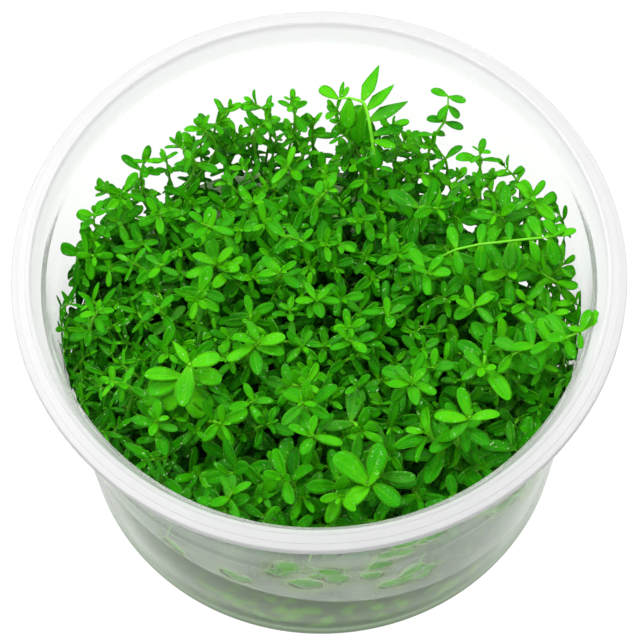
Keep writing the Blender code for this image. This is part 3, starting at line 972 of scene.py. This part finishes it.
class StemPlan:
    """The stems of one piece before they are dressed."""

    def __init__(self):
        self.points = []
        self.edges = []
        self.carried = {name: [] for name in CARRIED}
        self.forms = []

    def add_point(self, place, linked, form=0, **values):
        if linked:
            self.edges.append((len(self.points) - 1, len(self.points)))
        self.points.append(tuple(place))
        self.forms.append(form)
        for name in CARRIED:
            self.carried[name].append(values.get(name, 0.0))

    def add_shoot(self, source, route, singles=(), **own_habit):
        """A stem whose route is given from its foot to its tip, with leaves from the tip down.

        singles are leaves on their own: millimetres below the tip, bearing, lift, length in
        millimetres, form and age.
        """
        habit = SimpleNamespace(**{**HABIT, **own_habit})
        path, distance = curve_through(list(reversed(route)))
        total = distance[-1]
        stations = pair_stations(source, total, habit)
        for below, bearing, lift, length, form, age in singles:
            stations.append((below * MM, leaf_values(form, length * MM, lift, bearing, age, 1.0)))
        stations.append((0.0, {"age": 0.0}))
        place_before = -LEAST_STEP
        for below, values in sorted(stations, key=lambda station: station[0]):
            below = max(below, place_before + LEAST_STEP)
            if below > total - LEAST_STEP:
                break
            place = [np.interp(below, distance, path[:, axis]) for axis in range(3)]
            girth = habit.thick * MM * (0.45 + 0.55 * min(1.0, below / (5 * MM)))
            self.add_point(place, place_before >= 0.0, wet=habit.wet, stem_radius=girth, **values)
            place_before = below
        self.add_point(path[-1], True, stem_radius=1.1 * habit.thick * MM, age=1.0)

    def dressed(self, name, seed, give=GIVE):
        """The finished piece, as a plain mesh in the scene."""
        mesh = bpy.data.meshes.new(name + "_plan")
        mesh.from_pydata(self.points, self.edges, [])
        for key, values in self.carried.items():
            mesh.attributes.new(key, "FLOAT", "POINT").data.foreach_set("value", values)
        mesh.attributes.new("leaf_form", "INT", "POINT").data.foreach_set("value", self.forms)
        plan = bpy.data.objects.new(name + "_plan", mesh)
        scene.collection.objects.link(plan)
        modifier = plan.modifiers.new("leaves", "NODES")
        modifier.node_group = stem_tree
        for item in stem_tree.interface.items_tree:
            if item.name in ("Seed", "Give"):
                modifier[item.identifier] = seed if item.name == "Seed" else give
        evaluated = plan.evaluated_get(bpy.context.evaluated_depsgraph_get())
        grown = bpy.data.meshes.new_from_object(evaluated)
        grown.name = name
        for extra in {"leaf_form", *CARRIED} - set(KEPT):
            if extra in grown.attributes:
                grown.attributes.remove(grown.attributes[extra])
        bpy.data.objects.remove(plan)
        piece = bpy.data.objects.new(name, grown)
        scene.collection.objects.link(piece)
        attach(piece, "root")
        return piece


print("a shoot carries up to", len(PAIR_LENGTH), "different pairs, then repeats the last")

# %% [markdown]
# ## The shoots of the CAD model
#
# The tallest shoots are separate solids in the CAD model, and each gets a real shoot in its place.
# Most are plain, and lean a little towards the light. Those that stand out in the photograph are
# described one by one, with the bearing of every leaf that can be made out: a large light shoot at the
# left, a rosette in front, several crosses of equal leaves, a thin sprig and some pointed leaves at the
# back, a long stem that leans to the right, and a sprout that lies on the lid seat. Leaves are larger
# in front and at the right than at the back.

# %% Describe the shoots that stand out
def cross(*bearings, length=4.6, age=0.15):
    """The leaves of a cross that faces up, the highest first, below a bud of two tiny leaves."""
    bud = ((0.05, bearings[0] + 90), (0.15, bearings[0] - 90))
    leaves = [(below, bearing, 66, 0.28 * length, 0, 0.0) for below, bearing in bud]
    for rank, bearing in enumerate(bearings):
        size = length * min(1.0, 0.74 + 0.10 * rank)
        leaves.append((0.7 + 0.5 * rank, bearing, 36 - 7 * rank, size, rank % ROUND_FORMS, age + 0.06 * rank))
    return tuple(leaves)


def crossed(tip, *bearings, length=4.6, age=0.15, first=4.5, **habit):
    """A shoot that ends in such a cross."""
    return dict(tip=tip, singles=cross(*bearings, length=length, age=age), first=first, skip=4, **habit)


SPRIG = dict(scale=0.78, spacing=1.35, open_up=-22, fresh=0.16, leafy=0.7, thick=0.24)
BIG_LIGHT = (
    # mm below the tip, bearing, lift, length, form, age
    (0.3, 129, 28, 5.8, POINTED, 0.0), (0.4, 262, -12, 7.3, 4, 0.00), (0.6, 8, 24, 5.8, BROAD, 0.0),
    (3.6, 350, 4, 6.4, BROAD, 0.0), (4.3, 176, 12, 7.1, 1, 0.0), (4.8, 196, -4, 6.8, BROAD, 0.10),
    (7.6, 186, -6, 7.7, BROAD, 0.15), (4.9, 230, -22, 6.4, BROAD, 0.00),
    (5.4, 297, -24, 7.0, BROAD, 0.02), (6.6, 322, -14, 6.4, BROAD, 0.10), (9.6, 340, -10, 5.6, 4, 0.30),
)
ROSETTE = (
    (0.1, 44, 40, 3.2, 0, 0.0), (0.3, 224, 60, 2.0, 0, 0.0), (0.8, 147, 30, 7.9, BROAD, 0.30),
    (1.0, 69, 30, 6.7, BROAD, 0.35), (1.4, 224, 10, 6.3, 4, 0.10), (1.6, 317, 5, 6.3, BROAD, 0.55),
    (2.2, 78, 10, 7.1, 2, 0.45), (2.4, 201, 5, 7.0, 4, 0.40),
)
RIGHT_CROSS = (
    (0.1, 60, 60, 1.6, 0, 0.0), (0.5, 106, 30, 5.6, 0, 0.25), (0.7, 181, 20, 6.2, 2, 0.20),
    (0.9, 3, 12, 5.6, 1, 0.20), (1.2, 233, 15, 5.0, 0, 0.25), (3.2, 280, -15, 4.6, 1, 0.70),
    (3.4, 118, 20, 5.1, 3, 0.60), (3.6, 324, -10, 5.5, 2, 0.55),
)
TWIN_CROSS = (
    (0.1, 60, 60, 1.6, 0, 0.0), (0.4, 333, 45, 3.3, 0, 0.05), (0.6, 142, 30, 4.6, 2, 0.15),
    (0.9, 258, 40, 4.0, 0, 0.10), (1.6, 301, 5, 8.2, 1, 0.30), (2.3, 214, 0, 4.7, 3, 0.40),
)
LANCE = (
    (0.1, 148, 15, 4.0, BROAD, 0.0), (0.3, 71, 30, 3.3, FINE, 0.1), (0.9, 55, 30, 2.3, 0, 0.05),
    (2.1, 261, -40, 5.7, BROAD, 0.25), (4.6, 62, 6, 7.6, POINTED, 0.10), (5.2, 251, -50, 8.4, 1, 0.35),
    (6.4, 45, 0, 7.2, POINTED, 0.15), (7.4, 276, -50, 6.7, 3, 0.40), (8.4, 28, -4, 8.2, POINTED, 0.30),
    (11.0, 12, 5, 6.0, 1, 0.70), (12.0, 344, -5, 4.4, 0, 0.05), (12.6, 286, -40, 4.9, BROAD, 0.35),
)
THIN_SPRIG = (
    (0.2, 161, 25, 3.5, 4, 0.10), (0.3, 334, 10, 3.5, 2, 0.15), (1.9, 233, -20, 3.1, BROAD, 0.30),
    (2.0, 312, -20, 3.1, BROAD, 0.30), (5.2, 173, 10, 3.4, 4, 0.55), (5.3, 338, 0, 3.8, 2, 0.60),
)
LONG_STEM = (
    (0.1, 10, 30, 3.4, 4, 0.15), (0.4, 130, 34, 4.0, BROAD, 0.20), (2.0, 290, -40, 5.3, BROAD, 0.30),
    (2.6, 30, 10, 4.2, BROAD, 0.30), (3.4, 118, 24, 4.4, BROAD, 0.35), (5.3, 297, -30, 4.3, 4, 0.35),
    (5.5, 100, 20, 3.0, 4, 0.30), (8.1, 275, -40, 5.4, BROAD, 0.45), (8.8, 264, -40, 5.4, 4, 0.40),
    (9.0, 85, 15, 3.6, 4, 0.45), (14.1, 266, -40, 5.2, BROAD, 0.50), (14.3, 80, 10, 4.0, 2, 0.45),
    (18.5, 109, 20, 4.2, 4, 0.30), (18.7, 280, -20, 4.4, 2, 0.40),
)
SPROUT = (
    (0.1, 30, 55, 1.8, 0, 0.0), (1.0, 51, 10, 3.8, CUT, 0.0), (1.6, 190, 30, 3.4, 2, 0.05),
    (2.2, 66, 30, 4.2, 2, 0.05), (2.4, 271, -20, 3.0, 0, 0.10), (4.4, 200, 24, 4.4, 4, 0.15),
    (5.1, 126, 20, 5.1, BROAD, 0.10), (5.3, 300, -25, 4.0, 2, 0.25), (7.4, 215, 14, 4.8, 1, 0.20),
    (7.8, 113, 25, 4.5, BROAD, 0.20), (8.8, 238, -30, 5.8, BROAD, 0.30), (10.4, 190, 18, 4.6, 0, 0.35),
    (11.0, 100, 20, 4.4, 4, 0.35), (13.3, 154, 10, 4.8, BROAD, 0.25), (13.6, 320, -10, 4.6, 2, 0.45),
)
SPECIAL = {
    "shoot_01": dict(
        route=(
            (-23, -20, 14), (-23.6, -19.8, 32), (-24, -19.6, 45), (-24.1, -19.3, 51),
            (-23.9, -18, 55), (-22.7, -17.6, 59.6),
        ),
        singles=BIG_LIGHT, first=11.5, skip=4, scale=1.15, fresh=0.35, thick=0.5,
    ),
    "shoot_02": dict(tip=(7.5, -39.4, 54.6), singles=ROSETTE, first=5.0, skip=4, scale=1.3, thick=0.45),
    "shoot_03": dict(tip=(25.3, -28.5, 58.4), singles=RIGHT_CROSS, first=6.0, skip=4, scale=1.15),
    "shoot_04": crossed((-15.7, -39.6, 54.6), 131, 20, 222, 292, 80, length=4.8, age=0.2, scale=1.2),
    "shoot_05": crossed(
        (-10.4, -12.7, 58.4), 122, 172, 2, 211, -17, -82, length=5.6, age=0.05, first=5.0, scale=1.05
    ),
    "shoot_06": crossed((-20.5, 10.8, 58.8), 60, 150, 235, -20, 190),
    "shoot_07": crossed(
        (-2.5, 6.6, 58.6), 40, 135, 228, -40, length=4.0, first=4.0, scale=0.95, also=((-6.6, 1.7, 57.6),)
    ),
    "shoot_08": crossed((19.7, -0.8, 58.8), 172, 45, -17, -90, 120, length=4.8),
    "shoot_09": crossed((15.6, -21.9, 58.0), 35, 140, 200, -30, -85, length=5.0, scale=1.1),
    "shoot_10": dict(
        route=(
            (24, 29, 14), (22.5, 28, 34), (20.6, 28.6, 47), (20.9, 30.4, 51),
            (22, 31.1, 54), (23.6, 32.3, 56.2), (24.2, 34.3, 58.8), (24.2, 35.3, 60.2),
        ),
        singles=THIN_SPRIG, first=8.5, skip=3, scale=0.8, spacing=1.2, thick=0.26, also=((29.5, 24.3, 59.0),),
    ),
    "shoot_11": dict(
        route=(
            (11.5, 30, 16), (11.3, 27, 38), (11, 24.4, 48), (10.3, 28.8, 56),
            (9.3, 33.8, 59), (7.9, 35.1, 60), (6.1, 35.4, 60), (4.3, 35.4, 59.6),
        ),
        singles=LANCE, first=15.0, skip=3, scale=0.95,
    ),
    "shoot_12": dict(
        route=(
            (38, -11.5, 11), (36, -13, 34), (32.6, -15.6, 50), (32.6, -16, 55.4),
            (35, -15.5, 57.5), (39.8, -14.7, 58.6), (44.2, -13.7, 59.4), (47.2, -12.3, 59.6),
        ),
        singles=SPROUT, first=15.0, skip=4, scale=1.1, thick=0.24,
    ),
    "shoot_13": dict(
        route=(
            (36.5, 9, 12), (28, 5.5, 34), (20.4, 4.2, 50), (21.2, 4.4, 55.8),
            (26.8, 4.6, 59), (32.1, 4.9, 59.6), (37.4, 5.4, 59.6), (42.7, 5.9, 59.4),
        ),
        singles=LONG_STEM, first=24.0, skip=4, thick=0.24, also=((38.0, 15.0, 58.6),),
    ),
    "shoot_14": dict(SPRIG, tip=(-30.4, 24.6, 58.6), also=((-25.1, 27.4, 59.0), (-20.8, 31.4, 58.2))),
    "shoot_15": dict(
        SPRIG, tip=(-11.3, 35.2, 60.0), also=((-4.0, 35.6, 59.8), (-8.2, 32.6, 58.6), (-15.3, 34.6, 59.0))
    ),
    "shoot_17": dict(SPRIG, tip=(-35.2, 16.4, 58.4), also=((-39.8, 14.4, 57.6),)),
    "shoot_22": crossed(
        (-2.4, -30.5, 56.4), 70, 160, 250, -20, 115, length=5.2, scale=1.15, also=((-3.5, -24.5, 57.4),)
    ),
    "shoot_23": dict(tip=(28.0, -19.0, 57.4), singles=TWIN_CROSS, first=4.5, skip=4, scale=1.05),
    "shoot_25": dict(SPRIG, tip=(14.2, 31.4, 57.6), also=((3.4, 34.6, 58.2),)),
    "shoot_37": dict(SPRIG, tip=(-16.9, 33.6, 56.4)),
}
print(len(SPECIAL), "shoots are described one by one")

# %% Grow a shoot in place of each CAD shoot
STEM_ROOT = 2.0 * MM
NECK = 8.0 * MM
BOW = 1.6 * MM
CLOSE_GIVE = 0.7 * MM
CLOSE_TO_WALL = ("shoot_11", "shoot_12")
SHOOT_NAMES = sorted(name for name in frame["nodes"] if name.startswith("shoot_"))


def ramp(value, low, high):
    """0 below low, 1 above high, both in millimetres, and smooth between."""
    low, high = low * MM, high * MM
    share = min(1.0, max(0.0, (value - low) / (high - low)))
    return share * share * (3 - 2 * share)


def fine_growth(x, y):
    """How much a place belongs to the fine, wet growth at the left wall."""
    return ramp(-x, 21, 30) * ramp(8 * MM - y, 0, 10)


def loose_growth(x, y):
    """How much a place belongs to the loose back row."""
    right_wall = ramp(x, 31, 37) * ramp(y, -9, 0)
    right_back = ramp(x + 0.8 * y, 36, 46) * ramp(y, 0, 8)
    return max(ramp(y + 0.18 * abs(x), 22, 32), right_wall, right_back)


def leaf_scale(x, y):
    front, right = ramp(-y, 18, 32), ramp(x, 14, 28)
    return 0.86 + 0.38 * front + 0.26 * right - 0.08 * fine_growth(x, y) - 0.12 * ramp(y, 18, 30)


def rooted(x, y):
    """The foot of a stem, just inside the gel."""
    return Vector((x, y, gel_height(x) - STEM_ROOT))


def leaning_route(source, foot, tip):
    """From the foot to the tip, with a bow below and a neck that leans towards the light in front."""
    tip = Vector(tip)
    forward = source.uniform(-0.95, 0.10) * (1 - loose_growth(tip.x, tip.y))
    forward += source.uniform(-0.15, 0.25) * 0.5
    neck = tip - Vector((source.uniform(-0.6, 0.6), forward, 1.0)).normalized() * NECK
    side = Vector((source.uniform(-1, 1), source.uniform(-1, 1), 0.0)) * BOW
    return [foot, foot.lerp(neck, 0.5) + side, neck, tip]


leaf_count = 0
for number, name in enumerate(SHOOT_NAMES, start=1):
    source = random.Random(100 + number)
    low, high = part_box(name)
    middle = (low + high) / 2
    own = dict(SPECIAL.get(name, {}))
    tip = Vector(own.pop("tip", (middle.x / MM, middle.y / MM, high.z / MM - 1.0))) * MM
    if "route" in own:
        route = [Vector(point) * MM for point in own.pop("route")]
    else:
        route = leaning_route(source, rooted(middle.x, middle.y), tip)
    also = own.pop("also", ())
    own.setdefault("scale", leaf_scale(tip.x, tip.y) * source.uniform(0.95, 1.15))
    # Lighter at random, and darker towards the front.
    own.setdefault("fresh", source.uniform(0.0, 0.22) - 0.14 * ramp(-tip.y, 18, 30))
    own.setdefault("leafy", 0.85)
    own.setdefault("open_up", source.uniform(0, 14))
    plan = StemPlan()
    plan.add_shoot(source, route, turn=source.uniform(0.0, math.pi / 2), shade=8, **own)
    style = {key: value for key, value in own.items() if key not in ("singles", "first", "skip")}
    for extra in also:
        branch = leaning_route(source, route[1], Vector(extra) * MM)
        plan.add_shoot(source, branch, turn=source.uniform(0.0, math.pi / 2), shade=7, **style)
    piece = plan.dressed(name + "_grown", number, give=CLOSE_GIVE if name in CLOSE_TO_WALL else GIVE)
    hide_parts(name)
    sizes, solos = plan.carried["leaf_size"], plan.carried["solo"]
    leaf_count += sum(2 - int(solo) for size, solo in zip(sizes, solos) if size > 0)
print(len(SHOOT_NAMES), "shoots with", leaf_count, "leaves")

# %% [markdown]
# ## The thicket
#
# Between and below those shoots stand more than four hundred smaller ones, which replace the CAD
# model's cushion. A few are given one by one, where the photograph shows a clear cross. The others are
# scattered by throwing darts: a random place is kept if it is far enough from those kept before. How
# far depends on the kind of growth: an even tuft in the middle, fine crowded wet leaves at the left
# wall, and a loose back row with gaps to look through.

# %% Scatter and grow the thicket
TUFT_CENTRE_Y = -3.7 * MM
TUFT_HALF_WIDTH = 46.3 * MM
TUFT_HALF_DEPTH = 42.3 * MM
THROWS = 12000
PIECES = 5
PLAIN_SPACING = 4.0
ROOM_BY_SHOOTS = 0.62
TUFT_TIPS, SHADED_TIPS = (45.5, 52.5), (33.0, 43.0)
TUFT_FEET, SHADED_FEET = 0.94, 0.95  # how far out the feet stand, as a share of the tips' way
TUFT_EDGE = 0.97
THICKET_SEED = 500
CROSSES = (
    # tip in millimetres, and the leaves
    ((-0.4, -2.6, 53.4), cross(34, 123, 196, -12, -76, -105, length=4.4, age=0.15)),
    ((4.6, -10.4, 53.4), cross(137, 100, -49, 197, 20, length=4.3, age=0.20)),
    ((12.0, -6.0, 53.4), cross(95, 15, -75, 185, length=4.4, age=0.20)),
    ((-18.1, 5.6, 53.4), cross(37, 163, -25, 200, 100, length=5.6, age=0.0)),
    ((-16.4, 4.8, 52.6), cross(18, -45, 243, length=5.4, age=0.05)),
    ((-27.5, 5.8, 53.4), cross(60, 150, 240, -30, length=4.0, age=0.15)),
    ((26.6, -5.0, 53.4), cross(169, 109, 23, -50, 215, length=4.8, age=0.15)),
    ((19.9, -16.4, 53.4), cross(80, 170, -10, -100, length=4.8, age=0.20)),
    ((-11.6, -21.8, 53.4), cross(120, -8, 210, -60, length=4.8, age=0.15)),
)
BACK_SPRIGS = (
    (33.9, 24.6, 53.2), (43.0, 14.8, 52.8), (-38.8, 21.6, 52.6), (16.4, 30.6, 53.2), (-22.0, 31.4, 52.8),
    (-13.7, 32.9, 53.2), (-4.6, 33.1, 53.2), (4.5, 32.6, 53.2), (20.8, 29.5, 53.2),
    (-0.2, 35.0, 53.0), (-9.1, 35.0, 53.0),
)


def scattered(source, taken):
    """Places in the tuft, spaced by the kind of growth, and clear of the places taken already."""
    places = []
    for _ in range(THROWS):
        x = source.uniform(-TUFT_HALF_WIDTH, TUFT_HALF_WIDTH)
        y = source.uniform(TUFT_CENTRE_Y - TUFT_HALF_DEPTH, TUFT_CENTRE_Y + TUFT_HALF_DEPTH)
        if (x / TUFT_HALF_WIDTH) ** 2 + ((y - TUFT_CENTRE_Y) / TUFT_HALF_DEPTH) ** 2 > TUFT_EDGE:
            continue
        crowding = 1.1 * fine_growth(x, y) - 0.4 * loose_growth(x, y) - 1.1 * ramp(-y, 18, 30)
        spacing = (PLAIN_SPACING - crowding) * MM
        if any(math.hypot(x - a, y - b) < spacing for a, b in places):
            continue
        if any(math.hypot(x - a, y - b) < ROOM_BY_SHOOTS * spacing for a, b in taken):
            continue
        places.append((x, y))
    return places


def plan_of(plans, x, y):
    """The thicket is kept in pieces like slices of a cake: the plan of the slice at this place."""
    return plans[int((math.atan2(y, x) / (2 * math.pi) % 1.0) * PIECES)]


source = random.Random(7)
boxes = [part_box(name) for name in SHOOT_NAMES]
taken = [((low.x + high.x) / 2, (low.y + high.y) / 2) for low, high in boxes]
plans = [StemPlan() for _ in range(PIECES)]
by_hand = [(place, dict(singles=leaves, first=4.0, skip=4, shade=6)) for place, leaves in CROSSES]
by_hand += [(place, dict(SPRIG, shade=7)) for place in BACK_SPRIGS]
for place, habit in by_hand:
    tip = Vector(place) * MM
    if "singles" in habit:
        taken.append((tip.x, tip.y))
    route = leaning_route(source, rooted(tip.x, tip.y), tip)
    plan_of(plans, tip.x, tip.y).add_shoot(source, route, turn=source.uniform(0.0, 1.5), **habit)
places = scattered(source, taken)
undergrowth = scattered(source, taken)
for x, y in places:
    fine, loose = fine_growth(x, y), loose_growth(x, y)
    tip = (x, y, source.uniform(*TUFT_TIPS) * MM - 2.0 * MM * fine)
    plan_of(plans, x, y).add_shoot(
        source,
        leaning_route(source, rooted(x * TUFT_FEET, y * TUFT_FEET), tip),
        scale=leaf_scale(x, y) * source.uniform(0.85, 1.10),
        turn=source.uniform(0.0, math.pi / 2),
        # Painted light: the loose back row is painted lighter, as if lit from behind; leaves are also darker
        # towards the front.
        fresh=source.uniform(-0.20, 0.16) + 0.28 * loose + 0.08 * fine - 0.22 * ramp(-y, 14, 26),
        wet=0.8 * fine + (0.6 if source.random() < 0.2 else 0.0),
        forms=(FINE,) if source.random() < 0.92 * fine else None,
        leafy=0.92 - 0.45 * loose,
        thick=0.33 - 0.08 * loose,
        open_up=source.uniform(0, 16) - 30 * fine - 20 * loose,
        spacing=1.0 + 0.35 * loose - 0.2 * fine,
        shade=6,
    )
undergrowth = [(x, y) for x, y in undergrowth if loose_growth(x, y) < 0.4]
# Painted shade: the undergrowth's leaves get the darkest green, for the deep shade under the tuft.
shaded = dict(scale=1.15, fresh=-0.35, leafy=0.92, thick=0.3, shade=0, skip=3)
for x, y in undergrowth:
    tip = (x, y, source.uniform(*SHADED_TIPS) * MM)
    route = leaning_route(source, rooted(x * SHADED_FEET, y * SHADED_FEET), tip)
    plan_of(plans, x, y).add_shoot(source, route, turn=source.uniform(0.0, math.pi / 2), **shaded)
triangles = 0
for number, plan in enumerate(plans):
    piece = plan.dressed(f"thicket_{number + 1}", THICKET_SEED + number)
    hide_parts("thicket")
    count = sum(len(polygon.vertices) - 2 for polygon in piece.data.polygons)
    triangles += count
    print(piece.name, "has", count, "triangles")
print(len(places) + len(undergrowth), "small shoots in the fill,", triangles, "triangles in the thicket")

# %% [markdown]
# ## Leaves against the wall
#
# Each of the five sprays listed for the cup is a thin stem that runs down the inside of the wall from
# the tuft, with single leaves. The leaves' faces are turned outwards by a bank of a quarter turn, and
# the tree's pressing step lays them flat.

# %% Lay the sprays against the wall
SPRAY_STEM = 0.22 * MM
SPRAY_GIVE = 0.1 * MM
SPRAY_SEED = 900

source = random.Random(31)
plan = StemPlan()
for spray in SPRAYS:
    for rank, (degrees, level, direction, length) in enumerate(spray):
        size = length * WALL_LEAF_SIZE * MM
        plan.add_point(
            wall_place(degrees, level, WALL_CLEARANCE),
            rank > 0,
            leaf_bank=math.pi / 2,
            stem_radius=SPRAY_STEM,
            wet=1.0,
            pressed=1.0,
            **leaf_values(WALL_LEAF, size, direction, degrees, source.uniform(0.0, 0.3), 1.0),
        )
piece = plan.dressed("wall_sprays", SPRAY_SEED, give=SPRAY_GIVE)
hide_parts("thicket")
print("sprays:", len(piece.data.polygons), "faces")

# %% [markdown]
# ## Closing
#
# The leaf forms were only patterns, so they go.

# %% Measure the visual box and finish
for form_object in list(leaf_collection.objects):
    bpy.data.objects.remove(form_object)
bpy.data.collections.remove(leaf_collection)
low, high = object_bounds()
print("visual box in mm:", [round(side / MM, 1) for side in high - low])
